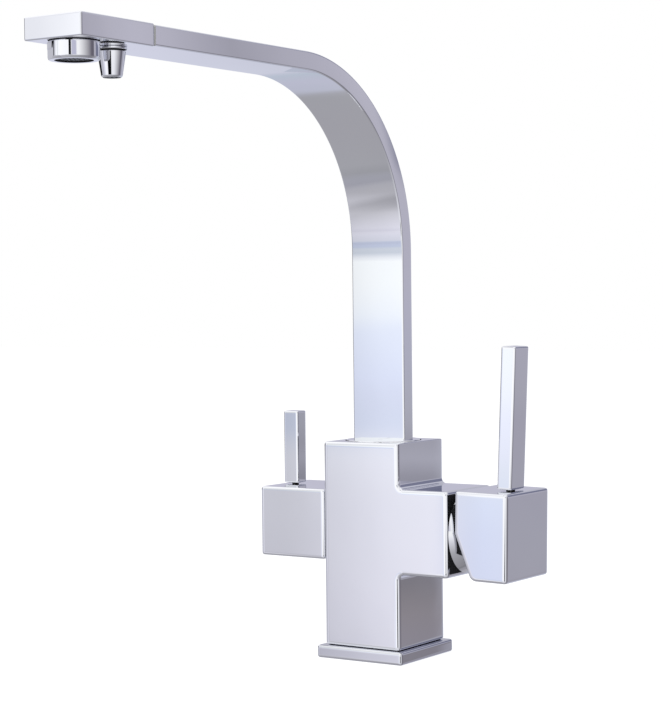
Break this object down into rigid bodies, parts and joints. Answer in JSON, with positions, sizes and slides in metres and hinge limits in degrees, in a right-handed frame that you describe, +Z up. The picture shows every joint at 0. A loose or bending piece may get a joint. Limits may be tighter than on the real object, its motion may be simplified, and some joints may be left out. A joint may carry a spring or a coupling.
{
  "type": "kitchen tap",
  "caption": "Square kitchen mixer tap with a flat bent swivel spout, a side mixer lever and a second lever that gives filtered water through its own nozzle.",
  "frame": {"origin": "middle of the base plate's underside, on the worktop", "axes": "+Z up, the spout reaches towards -Y, the mixer is on the +X side and the filtered water's handle on the -X side"},
  "size_m": [0.164, 0.3085, 0.3375],
  "materials": {
    "chrome": "polished chrome plate on brass",
    "brass": "turned brass",
    "plastic": "moulded white acetal",
    "dark_plastic": "moulded dark acetal",
    "rubber": "black rubber",
    "ceramic": "lapped alumina ceramic",
    "steel": "stainless steel"
  },
  "bodies": {
    "tap": {"tap_body": "chrome", "base_plate": "chrome", "base_seal": "rubber", "inlet_block": "brass", "inlet_seal": "rubber", "glide_ring": "plastic", "spout_lock_screw": "steel", "cartridge_housing": "plastic", "cartridge_seals": "rubber", "fixed_disc": "ceramic", "cartridge_nut": "brass", "dome_cover": "chrome", "filter_valve_body": "brass", "filter_valve_seal": "rubber", "filter_fixed_disc": "ceramic"},
    "spout": {"spout_collar": "chrome", "spout_stem": "brass", "stem_seals": "rubber", "spout_tube": "chrome", "filter_tube": "plastic", "spout_head": "chrome", "spout_joint_seal": "rubber", "aerator_housing": "chrome", "aerator_insert": "dark_plastic", "aerator_seal": "rubber", "nozzle_ring": "chrome", "filter_nozzle": "chrome", "nozzle_insert": "dark_plastic"},
    "rotor": {"cartridge_rotor": "plastic", "pivot_pin": "steel"},
    "mixer_handle": {"cartridge_spindle": "steel", "mixer_head": "chrome", "mixer_lever": "chrome", "lever_stud": "steel", "head_grub_screw": "steel"},
    "disc_set": {"moving_disc": "ceramic", "disc_carriage": "dark_plastic"},
    "filter_knob": {"filter_moving_disc": "ceramic", "filter_spindle": "brass", "spindle_seals": "rubber", "spindle_clip": "steel", "filter_handle": "chrome", "filter_lever": "chrome", "filter_lever_stud": "steel", "filter_grub_screw": "steel"}
  },
  "joints": [
    {"name": "spout_swivel", "type": "hinge", "parent": "tap", "child": "spout", "pos_m": [0, 0, 0.1199], "axis": [0, 0, 1], "continuous": true},
    {"name": "mixer_turn", "type": "hinge", "parent": "tap", "child": "rotor", "pos_m": [0.048, 0, 0.0745], "axis": [1, 0, 0], "range_deg": [-45, 45]},
    {"name": "mixer_tilt", "type": "hinge", "parent": "rotor", "child": "mixer_handle", "pos_m": [0.048, 0, 0.0745], "axis": [0, 1, 0], "range_deg": [0, 22]},
    {"name": "disc_slide", "type": "slide", "parent": "rotor", "child": "disc_set", "axis": [0, 0, 1], "range_m": [0, 0.0031]},
    {"name": "filter_turn", "type": "hinge", "parent": "tap", "child": "filter_knob", "pos_m": [-0.025, 0, 0.0764], "axis": [1, 0, 0], "range_deg": [0, 90]}
  ],
  "couplings": [
    {"joint": "disc_slide", "follows": "mixer_tilt", "m_per_rad": 0.007777}
  ]
}
